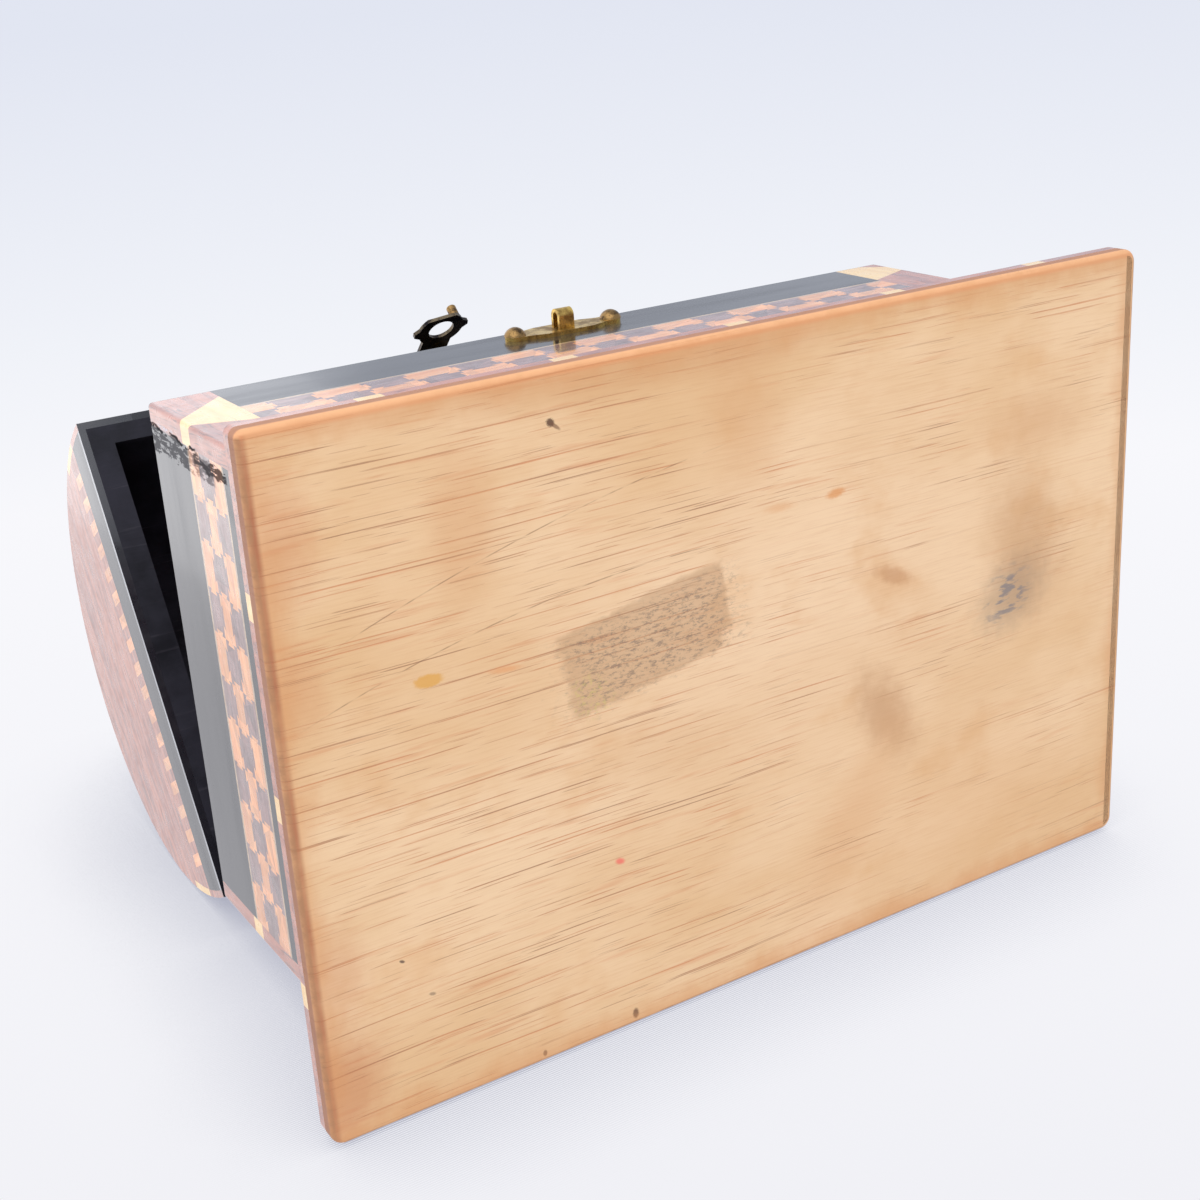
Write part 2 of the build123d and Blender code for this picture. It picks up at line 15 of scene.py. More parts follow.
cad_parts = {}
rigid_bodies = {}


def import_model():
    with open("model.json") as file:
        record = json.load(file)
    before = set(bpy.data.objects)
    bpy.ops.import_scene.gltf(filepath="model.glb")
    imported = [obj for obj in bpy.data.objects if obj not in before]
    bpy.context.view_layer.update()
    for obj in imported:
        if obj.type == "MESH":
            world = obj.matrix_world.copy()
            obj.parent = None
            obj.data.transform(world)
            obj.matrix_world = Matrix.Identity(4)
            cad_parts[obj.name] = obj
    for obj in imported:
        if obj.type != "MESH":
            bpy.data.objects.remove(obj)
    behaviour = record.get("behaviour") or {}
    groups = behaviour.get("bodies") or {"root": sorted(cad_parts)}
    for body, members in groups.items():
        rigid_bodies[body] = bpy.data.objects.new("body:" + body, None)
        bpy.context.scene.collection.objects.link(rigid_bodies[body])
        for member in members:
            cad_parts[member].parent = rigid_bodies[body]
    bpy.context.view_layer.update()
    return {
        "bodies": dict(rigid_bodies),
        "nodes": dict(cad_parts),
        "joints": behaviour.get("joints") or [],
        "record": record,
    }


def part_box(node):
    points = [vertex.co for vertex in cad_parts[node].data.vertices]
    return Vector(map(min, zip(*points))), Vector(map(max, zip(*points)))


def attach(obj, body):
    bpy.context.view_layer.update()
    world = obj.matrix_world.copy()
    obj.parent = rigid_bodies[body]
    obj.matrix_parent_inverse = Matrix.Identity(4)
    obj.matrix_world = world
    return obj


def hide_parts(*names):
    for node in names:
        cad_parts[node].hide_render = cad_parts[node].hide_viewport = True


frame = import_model()

MM = 0.001
NODES = frame["nodes"]

# Camera, in millimetres of the box's frame: it looks up at the base from the box's left.
CAMERA_PLACE = (-172.79, -126.84, -238.52)
CAMERA_FORWARD = (0.47366, 0.35564, 0.80571)
CAMERA_UP = (0.23723, -0.93255, 0.27217)
CAMERA_LENS = 53.58

# Lamps: name, place, target, side, watts, colour, and whether they light matt surfaces too.
LAMPS = (("lamp_top", (-0.35, -0.9, -0.25), (0, 0, 0.05), 1.2, 6.0, (1, 1, 1), True),
         ("lamp_above", (-0.5, -0.5, 1.1), (0, 0, 0.08), 1.8, 8.0, (1, 1, 1), True),
         ("lamp_side", (-0.72, 0.54, 1.25), (0, 0, 0.05), 2.2, 1.9, (0.88, 0.87, 1.0), False))

# Surroundings: steps from the table side to the top side, as sRGB levels.
WORLD_STEPS = ((0.18, (243, 243, 248)), (0.36, (250, 250, 254)), (0.40, (243, 245, 251)),
               (0.48, (228, 232, 244)), (0.70, (223, 231, 246)))
WORLD_STRENGTH = 0.98

# Floor: half its side, the distances where it starts to fade and is gone, and its tone.
FLOOR_HALF = 6.0
FLOOR_FADE = (0.3, 1.8)
FLOOR_TONE = (232, 232, 238)

# Contact shadow: slats that face down, in the plane of the table behind the box, their two
# ends along X, and the reach and the darkest tone of the shadow.
SLAT_STEP, SLAT_DEPTH, SLAT_GAP = 0.5 * MM, 0.34 * MM, 0.4 * MM
SLAT_NUMBERS = range(-260, 520)
SLAT_ENDS = (-0.24, 0.26)
SHADOW_REACH = 0.042
SHADOW_TONE = (184, 186, 199)

# Lid tiles: how far apart they are, and their dovetail tabs as shares of a side.
TILE_PITCH = 9.0 * MM
TAB_DEPTH = 0.8 * MM
TAB_ROOT, TAB_TIP = 0.20, 0.29

# Felt: thickness and swelling as shares of the pad's room, and the mesh cell.
FELT_FILL, FELT_SWELL = 0.8, 0.12
FELT_CELL = 1.5 * MM


# ---- helpers for procedural materials ----------------------------------------------------
def tone(red, green, blue):
    """A linear RGBA colour from sRGB levels of 0 to 255."""
    levels = []
    for level in (red, green, blue):
        share = level / 255
        levels.append(share / 12.92 if share <= 0.04045 else ((share + 0.055) / 1.055) ** 2.4)
    return (*levels, 1.0)


class Finish:
    """One node material round a Principled shader, with places in millimetres. A finish of
    the lid counts its places in the closed lid's frame, so that the grain stays square to it."""

    rim_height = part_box("left_wall")[1].z / MM
    rim_stain = (0.16, 0.06)  # from the meeting faces: where the black starts and is full

    def __init__(self, name, on_lid=False, **constants):
        self.material = bpy.data.materials.new(name)
        self.material.use_nodes = True
        self.tree = self.material.node_tree
        self.shader = self.tree.nodes["Principled BSDF"]
        for socket, value in constants.items():
            self.shader.inputs[socket.replace("_", " ")].default_value = value
        point = self.add("ShaderNodeTexCoord").outputs["Object"]
        self.on_lid = on_lid
        if on_lid:
            shut = lid.to_rest.inverted()
            turn = tuple(math.degrees(angle) for angle in shut.to_euler())
            self.place = self.moved(point, tuple(shut.translation / MM), turn, (1 / MM,) * 3)
        else:
            self.place = self.moved(point, scale=(1 / MM,) * 3)

    def add(self, kind, feeds=None, **settings):
        """A node with its settings made and its inputs linked or filled."""
        made = self.tree.nodes.new(kind)
        for name, value in settings.items():
            setattr(made, name, value)
        for key, value in (feeds or {}).items():
            if isinstance(value, bpy.types.NodeSocket):
                self.tree.links.new(value, made.inputs[key])
            else:
                made.inputs[key].default_value = value
        return made

    def moved(self, vector, at=(0, 0, 0), turn=(0, 0, 0), scale=(1, 1, 1)):
        """The vector scaled, turned and shifted."""
        angles = tuple(math.radians(angle) for angle in turn)
        return self.add("ShaderNodeMapping", {"Vector": vector, "Location": at,
                                              "Rotation": angles, "Scale": scale}).outputs[0]

    def inside(self, at, half, turn=(0, 0, 0)):
        """Coordinates that run from -1 to 1 over a box at a place."""
        angles = tuple(math.radians(angle) for angle in turn)
        return self.add("ShaderNodeMapping", {"Vector": self.place, "Location": at,
                                              "Rotation": angles, "Scale": half},
                        vector_type="TEXTURE").outputs[0]

    def noise(self, vector, size=1.0, detail=3.0, rough=0.55, warp=0.0):
        """A noise level whose features are about size millimetres across."""
        return self.add("ShaderNodeTexNoise", {"Vector": vector, "Scale": 1 / size,
                                               "Detail": detail, "Roughness": rough,
                                               "Distortion": warp}).outputs["Fac"]

    def calc(self, operation, first, second=0.0, clamp=False):
        """One arithmetic step."""
        made = self.add("ShaderNodeMath", {0: first, 1: second}, operation=operation)
        made.use_clamp = clamp
        return made.outputs[0]

    def fade(self, value, start, end, low=0.0, high=1.0):
        """Smooth change from low to high as the value goes from start to end."""
        return self.add("ShaderNodeMapRange", {"Value": value, "From Min": start,
                                               "From Max": end, "To Min": low,
                                               "To Max": high},
                        interpolation_type="SMOOTHSTEP").outputs[0]

    def mix(self, share, first, second, mode="MIX"):
        """Two colours mixed."""
        made = self.add("ShaderNodeMix", {"Factor": share, 6: first, 7: second},
                        data_type="RGBA", blend_type=mode)
        return made.outputs[2]

    def axis(self, vector, name):
        """One component of a vector."""
        return self.add("ShaderNodeSeparateXYZ", {0: vector}).outputs[name]

    def length(self, vector):
        """The vector's length."""
        return self.add("ShaderNodeVectorMath", {0: vector}, operation="LENGTH").outputs["Value"]

    def spot(self, at, half, turn=0.0, soft=0.3, ragged=0.5, grain=2.0, square=False):
        """How much of a mark on the underside covers a point, from 0 to 1."""
        local = self.inside((*at, 0), (*half, 1e4), (0, 0, turn))
        if square:
            across = self.calc("ABSOLUTE", self.axis(local, "X"))
            along = self.calc("ABSOLUTE", self.axis(local, "Y"))
            reach = self.calc("MAXIMUM", across, along)
        else:
            reach = self.length(local)
        wobble = self.calc("MULTIPLY_ADD", self.noise(self.place, grain, 4.0), ragged)
        wobble.node.inputs[2].default_value = -ragged / 2
        return self.fade(self.calc("ADD", reach, wobble), 1 + soft, 1 - soft)

    def bump(self, height, depth, strength=1.0):
        """Surface relief, depth in millimetres."""
        made = self.add("ShaderNodeBump", {"Height": height, "Distance": depth * MM,
                                           "Strength": strength})
        self.tree.links.new(made.outputs[0], self.shader.inputs["Normal"])

    def black_rim(self, colour):
        """The colour, stained black where the box and the lid meet."""
        height = self.axis(self.place, "Z")
        clean, black = self.rim_stain
        if self.on_lid:
            meets = self.fade(height, lid.floor / MM + clean, lid.floor / MM + black)
        else:
            meets = self.fade(height, self.rim_height - clean, self.rim_height - black)
        return self.mix(meets, colour, tone(34, 32, 38))

    def paint(self, colour, rough):
        """Feeds the shader's colour and roughness."""
        self.tree.links.new(colour, self.shader.inputs["Base Color"])
        self.tree.links.new(rough, self.shader.inputs["Roughness"])
        return self.material


# ---- finishes, where f is the Finish that is being built -----------------------------------
def stretched(f, grain, along, across):
    """The place divided by a grain cell's length along one axis and width on the others."""
    scale = [1 / across] * 3
    scale["XYZ".index(grain)] = 1 / along
    return f.moved(f.place, scale=tuple(scale))


def pore_lines(f, x, y, pitch, length, half_width, seed, amount):
    """Thin broken lines along X, one at most in each strip of y that is a pitch wide."""
    level = f.calc("DIVIDE", f.calc("ADD", y, seed * 0.37), pitch)
    strip = f.calc("FLOOR", level)
    share = f.calc("SUBTRACT", level, strip)
    pick = f.add("ShaderNodeTexWhiteNoise", {"W": f.calc("ADD", strip, seed)},
                 noise_dimensions="1D").outputs["Value"]
    off = f.calc("ABSOLUTE", f.calc("SUBTRACT", share, f.fade(pick, 0, 1, 0.25, 0.75)))
    reach = half_width / pitch
    along = f.calc("MULTIPLY_ADD", strip, 7.31)
    f.tree.links.new(f.calc("DIVIDE", x, length), along.node.inputs[2])
    run = f.add("ShaderNodeTexNoise", {"W": along, "Scale": 1.0, "Detail": 1.0,
                                       "Roughness": 0.4}, noise_dimensions="1D").outputs["Fac"]
    there = f.fade(run, 0.50, 0.62)
    width = f.calc("MULTIPLY", there, reach)
    line = f.calc("DIVIDE", f.calc("SUBTRACT", width, off), reach * 0.6, clamp=True)
    return f.calc("MULTIPLY", line, amount)


# Pores of the underside, by size: pitch, length, half width, seed and strength.
PORES = ((2.3, 34.0, 0.13, 3.1, 0.95), (1.5, 20.0, 0.10, 17.7, 0.75),
         (0.9, 11.0, 0.07, 41.3, 0.50), (4.3, 46.0, 0.16, 63.9, 1.00))
# Marks on the underside: place, half size, turn, softness, raggedness, strength and colour.
STAINS = (
    ((28.4, 17.0), (9.2, 4.6), 60, 0.80, 1.0, 0.60, (186, 138, 96)),
    ((64.0, -9.0), (13.0, 8.0), 74, 0.80, 0.9, 0.52, (192, 146, 102)),
    ((60.5, 0.5), (7.5, 6.0), -35, 0.80, 0.9, 0.50, (146, 122, 102)),
    ((66.0, -33.0), (10.0, 4.5), 4, 0.90, 0.8, 0.42, (204, 154, 108)),
    ((30.5, -10.4), (4.2, 1.5), 24, 0.60, 0.8, 0.55, (186, 130, 84)),
    ((17.3, -29.2), (1.9, 0.8), -6, 0.50, 0.6, 0.70, (216, 144, 78)),
    ((4.9, -29.3), (2.8, 0.7), 2, 0.80, 0.9, 0.42, (214, 150, 94)),
    ((-65.0, -16.1), (2.6, 1.1), 3, 0.20, 0.7, 0.80, (218, 162, 72)),
    ((-51.2, -14.2), (2.6, 0.5), 6, 0.70, 0.8, 0.55, (222, 148, 90)),
    ((-22.0, 9.0), (14.0, 5.0), 4, 0.80, 0.9, 0.26, (206, 160, 112)),
    ((-56.4, -40.0), (5.5, 11.5), 4, 0.60, 0.6, 0.36, (208, 152, 104)),
    ((-2.0, -48.0), (6.5, 12.0), -8, 0.80, 0.7, 0.34, (208, 154, 104)),
    ((-18.0, -58.5), (34.0, 3.0), 0, 0.90, 0.8, 0.40, (198, 142, 92)),
    ((19.0, 38.0), (16.0, 5.5), -58, 0.90, 0.8, 0.32, (212, 158, 110)),
    ((44.0, 44.0), (34.0, 16.0), -10, 0.90, 0.9, 0.22, (214, 162, 112)),
    ((-88.0, 52.0), (7.0, 9.5), 12, 0.70, 0.8, 0.60, (196, 128, 84)),
    ((-86.5, 30.0), (4.5, 8.0), 0, 0.80, 0.9, 0.36, (200, 134, 90)),
    ((-86.0, -44.0), (4.5, 8.5), 0, 0.80, 0.9, 0.44, (204, 138, 92)),
    ((-86.0, -20.0), (3.5, 6.5), 0, 0.80, 0.9, 0.34, (206, 142, 96)),
    ((-39.5, -53.3), (0.75, 0.62), 40, 0.35, 0.9, 0.90, (84, 54, 36)),
    ((-38.7, -52.6), (1.1, 0.3), 40, 0.40, 0.5, 0.70, (112, 74, 48)),
    ((-32.0, 27.8), (0.9, 0.55), 20, 0.50, 0.6, 0.75, (236, 96, 90)),
    ((-75.0, 31.7), (0.5, 0.25), 30, 0.40, 0.6, 0.85, (84, 66, 56)),
    ((-70.2, 39.8), (0.6, 0.3), 20, 0.40, 0.6, 0.60, (120, 98, 80)),
    ((-30.8, 59.7), (0.6, 1.0), 0, 0.35, 0.6, 0.90, (70, 52, 40)),
    ((-50.0, 60.2), (0.4, 0.6), 0, 0.35, 0.6, 0.85, (82, 60, 46)),
)
# Scratches of the underside: bow, slope, middle x, middle y and half length.
SCRATCHES = ((0.0023, -0.155, -48, -23.2, 40), (0.0016, -0.240, -44, -36.2, 39))
# Warmth that makes up for the cool surroundings.
PLYWOOD_WARMTH = (1.15, 1.08, 0.97, 1)


def bare_wood(f):
    """The wood's colour before its pores, with the cloud and the fibre levels behind it."""
    cloud = f.noise(f.moved(f.place, scale=(0.6, 1.0, 1.0)), 40, 4)
    colour = f.mix(f.fade(cloud, 0.34, 0.66), tone(222, 184, 140), tone(235, 204, 168))
    middle = f.spot((10.0, -6.0), (48.0, 30.0), -6, 0.8, 0.5, 30.0)
    colour = f.mix(f.calc("MULTIPLY", middle, 0.55), colour, tone(238, 208, 176))
    amber = f.noise(f.moved(f.place, at=(9, 4, 0), scale=(0.8, 1.0, 1.0)), 22, 4, 0.6)
    colour = f.mix(f.fade(amber, 0.52, 0.72, 0, 0.50), colour, tone(216, 168, 118))
    fibre = f.noise(stretched(f, "X", 9, 0.40), 1, 3, 0.6)
    colour = f.mix(f.fade(fibre, 0.42, 0.75, 0, 0.20), colour, tone(200, 148, 102))
    return colour, cloud, fibre


def open_pores(f, colour, x, y):
    """The colour with its pores, which bend with the grain and crowd in places."""
    bend = f.calc("MULTIPLY", f.noise(f.moved(f.place, scale=(0.6, 0.5, 1)), 50, 1), 3.0)
    bent = f.calc("ADD", y, bend)
    crowd = f.noise(f.moved(f.place, at=(0, 31, 0), scale=(0.45, 1.2, 1)), 14, 3)
    crowd = f.fade(f.calc("ADD", crowd, f.fade(x, 25, -40, 0.0, 0.20)), 0.44, 0.66, 0.12, 1.0)
    pore = 0.0
    for pitch, length, half_width, seed, amount in PORES:
        lines = pore_lines(f, x, bent, pitch, length, half_width, seed, amount)
        pore = f.calc("MAXIMUM", lines, pore)
    pore = f.calc("MULTIPLY", pore, crowd)
    deep = f.fade(f.noise(stretched(f, "X", 30, 3), 1, 2), 0.40, 0.62)
    pore_tone = f.mix(deep, tone(200, 122, 78), tone(146, 90, 60))
    colour = f.mix(f.calc("MULTIPLY", pore, 0.68), colour, pore_tone)
    flush = f.fade(f.noise(stretched(f, "X", 26, 1.7), 1, 3, 0.6), 0.56, 0.72)
    flush = f.calc("MULTIPLY", f.calc("MULTIPLY", flush, crowd), 0.34)
    return f.mix(flush, colour, tone(206, 132, 88)), pore


def torn_label(f, colour):
    """The colour with a torn label's glue and dirt, and the levels of both."""
    label = f.calc("MAXIMUM",
                   f.spot((-24.5, -11.8), (15.8, 7.9), -10, 0.07, 0.22, 3.0, square=True),
                   f.spot((-15.6, -15.0), (8.6, 6.4), -8, 0.07, 0.22, 3.0, square=True))
    colour = f.mix(f.calc("MULTIPLY", label, 0.50), colour, tone(184, 146, 112))
    grime = f.spot((-22.5, -11.5), (16.4, 6.8), -9, 0.35, 1.0, 2.2, square=True)
    speck = f.noise(f.moved(f.place, turn=(0, 0, -24), scale=(0.6, 1.5, 1)), 1.1, 5, 0.8)
    soot = f.calc("MULTIPLY", grime, f.fade(speck, 0.49, 0.60))
    colour = f.mix(f.calc("MULTIPLY", soot, 0.52), colour, tone(98, 88, 88))
    glue = f.calc("MULTIPLY", f.spot((-35.5, -5.0), (4.0, 3.4), 30, 0.5, 0.9, 1.5),
                  f.fade(f.noise(f.place, 0.9, 3, 0.7), 0.5, 0.62))
    return f.mix(f.calc("MULTIPLY", glue, 0.6), colour, tone(206, 188, 120)), label, soot


def stained(f, colour):
    """The colour with damp marks, knots and a smear of ink."""
    for at, half, turn, soft, ragged, strength, shade in STAINS:
        cover = f.calc("MULTIPLY", f.spot(at, half, turn, soft, ragged, max(half) / 3), strength)
        colour = f.mix(cover, colour, tone(*shade))
    smear = f.noise(f.moved(f.place, turn=(0, 0, 40), scale=(0.30, 1, 1)), 1.5, 3)
    ink = f.calc("MULTIPLY", f.spot((59.2, 0.8), (5.6, 4.8), -35, 0.45, 0.7),
                 f.fade(smear, 0.50, 0.60))
    return f.mix(f.calc("MULTIPLY", ink, 0.60), colour, tone(96, 106, 124))


def scratched(f, colour, x, y):
    """The colour with long curved scratches."""
    for bow, slope, at_x, at_y, reach in SCRATCHES:
        off = f.calc("SUBTRACT", x, at_x)
        bend = f.calc("MULTIPLY_ADD", off, bow)
        bend.node.inputs[2].default_value = slope
        line = f.calc("MULTIPLY", off, bend)
        gap = f.calc("ABSOLUTE", f.calc("SUBTRACT", f.calc("SUBTRACT", y, at_y), line))
        stroke = f.calc("MULTIPLY", f.fade(gap, 0.16, 0.04),
                        f.fade(f.calc("ABSOLUTE", off), reach, reach - 8))
        broken = f.calc("MULTIPLY", stroke, f.fade(f.noise(f.place, 5.0, 2), 0.36, 0.60))
        colour = f.mix(f.calc("MULTIPLY", broken, 0.60), colour, tone(136, 92, 64))
    return colour


def worn_border_and_highlight(f, colour, x, y, z):
    """The colour with the darker border, the seams along two edges and the rubbed round-over,
    which is painted lighter along the front as a highlight.
    """
    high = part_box("base_board")[1]
    half_x, half_y = high.x / MM, high.y / MM
    gap_x = f.calc("SUBTRACT", half_x, f.calc("ABSOLUTE", x))
    gap_y = f.calc("SUBTRACT", half_y, f.calc("ABSOLUTE", y))
    gap = f.calc("MINIMUM", gap_x, gap_y)
    creep = f.calc("MULTIPLY", f.noise(f.moved(f.place, scale=(1, 0.7, 1)), 9, 4), 9.0)
    worn = f.calc("SUBTRACT", gap, f.calc("SUBTRACT", creep, 3.6))
    colour = f.mix(f.fade(worn, 5.0, -1.0, 0, 0.58), colour, tone(208, 146, 94))
    seam = f.calc("ABSOLUTE", f.calc("SUBTRACT", f.calc("ADD", x, half_x), 0.8))
    faint = f.fade(f.noise(f.place, 12, 3), 0.3, 0.7, 0.45, 0.95)
    colour = f.mix(f.calc("MULTIPLY", f.fade(seam, 1.1, 0.1), faint), colour, tone(168, 104, 72))
    front_seam = f.calc("ABSOLUTE", f.calc("SUBTRACT", f.calc("ADD", y, half_y), 0.9))
    colour = f.mix(f.fade(front_seam, 0.9, 0.1, 0, 0.45), colour, tone(222, 146, 96))
    round_over = f.fade(gap, 1.0, 0.5)
    # Painted highlight: the round-over is lighter along the front than on the other sides.
    front = f.fade(y, 1.4 - half_y, 0.7 - half_y)
    round_over_tone_with_highlight = f.mix(front, tone(166, 122, 88), tone(228, 172, 126))
    rubbed = f.fade(f.noise(f.place, 3.5, 4, 0.7), 0.3, 0.7, 0.35, 0.95)
    colour = f.mix(f.calc("MULTIPLY", round_over, rubbed), colour, round_over_tone_with_highlight)
    upper_ply = f.fade(z, 0.7, 1.3)
    return f.mix(f.calc("MULTIPLY", upper_ply, 0.8), colour, tone(146, 98, 76))


def plywood():
    """Bare plywood underside: open pores, worn border with a painted highlight on its front
    round-over, label glue, damp marks, scratches.
    """
    f = Finish("plywood")
    x, y, z = (f.axis(f.place, name) for name in "XYZ")
    colour, cloud, fibre = bare_wood(f)
    colour, pore = open_pores(f, colour, x, y)
    colour, label, soot = torn_label(f, colour)
    colour = stained(f, colour)
    colour = scratched(f, colour, x, y)
    colour = worn_border_and_highlight(f, colour, x, y, z)
    colour = f.mix(1.0, colour, PLYWOOD_WARMTH, "MULTIPLY")
    rough = f.fade(f.calc("ADD", f.calc("MULTIPLY", label, 0.5), cloud), 0.2, 1.1, 0.50, 0.78)
    relief = f.calc("SUBTRACT", f.calc("MULTIPLY", fibre, 0.30), pore)
    f.bump(f.calc("SUBTRACT", relief, f.calc("MULTIPLY", soot, 0.4)), 0.10, 0.5)
    return f.paint(colour, rough)


# Damage at the left end's front joint, with painted shade beside the split in the first row:
#  y from and to, counted from the joint, z from and to, grit across, strength and colour.
LEFT_END, LEFT_JOINT = (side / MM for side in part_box("left_upper_panel")[0][:2])
CORNER_MARKS_AND_SHADE = ((0.3, 4.6, 40.0, 71.5, 1.2, 0.62, (46, 43, 48)),
                (-0.9, -0.3, 59.5, 67.5, 2.0, 0.90, (226, 220, 224)),
                (0.8, 3.0, 34.0, 50.0, 0.8, 0.90, (38, 32, 34)),
                (-0.3, 0.4, 48.0, 72.0, 4.0, 1.00, (16, 13, 15)))


def corner_damage_and_shade(f, colour, rough):
    """The colour and roughness with the split joint, chip, dark glue and a painted shade beside
    the split of the left end's front corner, where the polish is lost too."""
    if f.on_lid:
        return colour, rough
    x, y, z = (f.axis(f.place, name) for name in "XYZ")
    end = f.fade(x, LEFT_END + 0.9, LEFT_END + 0.4)
    wave = f.fade(f.noise(f.place, 5, 3, 0.6), 0.3, 0.7, -0.5, 0.5)
    off = f.calc("SUBTRACT", f.calc("SUBTRACT", y, LEFT_JOINT), wave)
    lost = 0.0
    for y0, y1, z0, z1, grit, amount, shade in CORNER_MARKS_AND_SHADE:
        across = f.calc("MULTIPLY", f.fade(off, y0 - 0.2, y0 + 0.2),
                        f.fade(off, y1 + 0.2, y1 - 0.2))
        along = f.calc("MULTIPLY", f.fade(z, z0 - 1, z0 + 1), f.fade(z, z1 + 1, z1 - 1))
        broken = f.fade(f.noise(stretched(f, "Z", 4, grit), 1, 4, 0.7), 0.40, 0.50)
        cover = f.calc("MULTIPLY", f.calc("MULTIPLY", across, along),
                       f.calc("MULTIPLY", end, broken))
        cover = f.calc("MULTIPLY", cover, amount)
        colour = f.mix(cover, colour, tone(*shade))
        lost = f.calc("MAXIMUM", cover, lost)
    coat = f.shader.inputs["Coat Weight"]
    f.tree.links.new(f.fade(lost, 0, 1, coat.default_value, 0.0), coat)
    return colour, f.calc("MAXIMUM", rough, f.fade(lost, 0, 1, 0.0, 0.95))


def veneer(name, on_lid, grain, pale, deep, streak, contrast=1.0, island=0.0, figure=6.0):
    """Polished veneer: figure, fine dark streaks, and a tone of its own for each tile."""
    f = Finish(name, on_lid, Coat_Weight=0.8, Coat_Roughness=0.10, Specular_IOR_Level=0.5)
    drift = f.noise(f.place, 30, 2)
    sway = f.calc("MULTIPLY", drift, 5.0)
    turned = f.moved(f.place, turn=(3.0, 2.0, 4.0))
    shifted = f.add("ShaderNodeVectorMath", {0: turned, 1: sway}, operation="ADD").outputs[0]
    along = "XYZ".index(grain)
    scale = [3 / figure] * 3
    scale[along] = 0.03
    bands = f.noise(f.moved(shifted, scale=tuple(scale)), 1, 3, 0.6)
    colour = f.mix(f.fade(bands, 0.35, 0.68), tone(*pale), tone(*deep))
    scale = [12 / figure] * 3
    scale[along] = 0.10
    lines = f.noise(f.moved(shifted, scale=tuple(scale)), 1, 2, 0.5)
    streaks = f.fade(lines, 0.56, 0.70, 0, min(1.0, 0.8 * contrast))
    colour = f.mix(streaks, colour, tone(*streak))
    if island:
        lone = f.add("ShaderNodeNewGeometry").outputs["Random Per Island"]
        shade = f.fade(lone, 0, 1, 1 - island, 1 + island)
        grey = f.add("ShaderNodeCombineColor", {0: shade, 1: shade, 2: shade}).outputs[0]
        colour = f.mix(1.0, colour, grey, "MULTIPLY")
    scuff = f.noise(f.place, 3.5, 5, 0.65)
    rough = f.fade(scuff, 0.3, 0.75, 0.24, 0.44)
    f.bump(f.calc("SUBTRACT", f.calc("MULTIPLY", scuff, 0.3), streaks), 0.035, 0.35)
    colour, rough = corner_damage_and_shade(f, colour, rough)
    return f.paint(f.black_rim(colour), rough)


def lacquer(name, on_lid, grain):
    """Black gloss lacquer: brushed waviness, dust and faint scuffs."""
    f = Finish(name, on_lid, Coat_Weight=0.3, Coat_Roughness=0.06, Specular_IOR_Level=0.45)
    cloud = f.noise(stretched(f, grain, 60, 6), 1, 3)
    colour = f.mix(cloud, tone(20, 19, 23), tone(38, 37, 42))
    dust = f.fade(f.noise(f.place, 0.55, 2, 0.5), 0.70, 0.80, 0, 0.35)
    colour = f.mix(dust, colour, tone(120, 118, 122))
    wave = f.noise(stretched(f, grain, 40, 2.4), 1, 3, 0.6)
    rough = f.fade(f.calc("ADD", cloud, f.calc("MULTIPLY", dust, 0.5)), 0.3, 1.0, 0.16, 0.38)
    f.bump(wave, 0.03, 0.35)
    return f.paint(*corner_damage_and_shade(f, colour, rough))


def stained_core(name, on_lid):
    """Black-stained softwood of the inner faces, matt, with brushed grain showing."""
    f = Finish(name, on_lid, Specular_IOR_Level=0.18)
    grain = f.noise(stretched(f, "X", 22, 1.1), 1, 4, 0.65)
    blotch = f.noise(f.place, 14, 4, 0.6)
    colour = f.mix(f.fade(blotch, 0.3, 0.7), tone(27, 26, 31), tone(48, 46, 54))
    colour = f.mix(f.fade(grain, 0.58, 0.76, 0, 0.5), colour, tone(72, 68, 74))
    f.bump(grain, 0.12, 0.5)
    return f.paint(colour, f.fade(blotch, 0.3, 0.75, 0.42, 0.70))


def brass(name, bright, dull, wear):
    """Aged brass: dull film, bright wear, fine pitting."""
    f = Finish(name, Metallic=1.0)
    film = f.noise(f.place, 2.4, 5, 0.65)
    colour = f.mix(f.fade(film, 0.5 - wear, 0.62), tone(*bright), tone(*dull))
    pits = f.noise(f.place, 0.32, 3, 0.6)
    colour = f.mix(f.fade(pits, 0.56, 0.72, 0, 0.6), colour, tone(48, 38, 28))
    lines = f.noise(stretched(f, "X", 5, 0.12), 1, 2)
    rough = f.fade(f.calc("ADD", film, f.calc("MULTIPLY", lines, 0.4)), 0.4, 1.0, 0.22, 0.50)
    f.bump(f.calc("ADD", pits, f.calc("MULTIPLY", lines, 0.4)), 0.03, 0.5)
    return f.paint(colour, rough)


def felt():
    """Red felt: matted fibres, sheen and rubbed patches."""
    f = Finish("felt", Sheen_Weight=0.6, Sheen_Roughness=0.5, Specular_IOR_Level=0.2)
    fibres = f.noise(f.place, 0.35, 5, 0.75, 1.2)
    rubbed = f.noise(f.place, 18, 3)
    colour = f.mix(f.fade(fibres, 0.35, 0.65), tone(122, 14, 22), tone(176, 32, 40))
    colour = f.mix(f.fade(rubbed, 0.5, 0.75, 0, 0.3), colour, tone(196, 70, 70))
    f.bump(fibres, 0.25, 0.8)
    return f.paint(colour, f.fade(fibres, 0.3, 0.7, 0.85, 0.98))


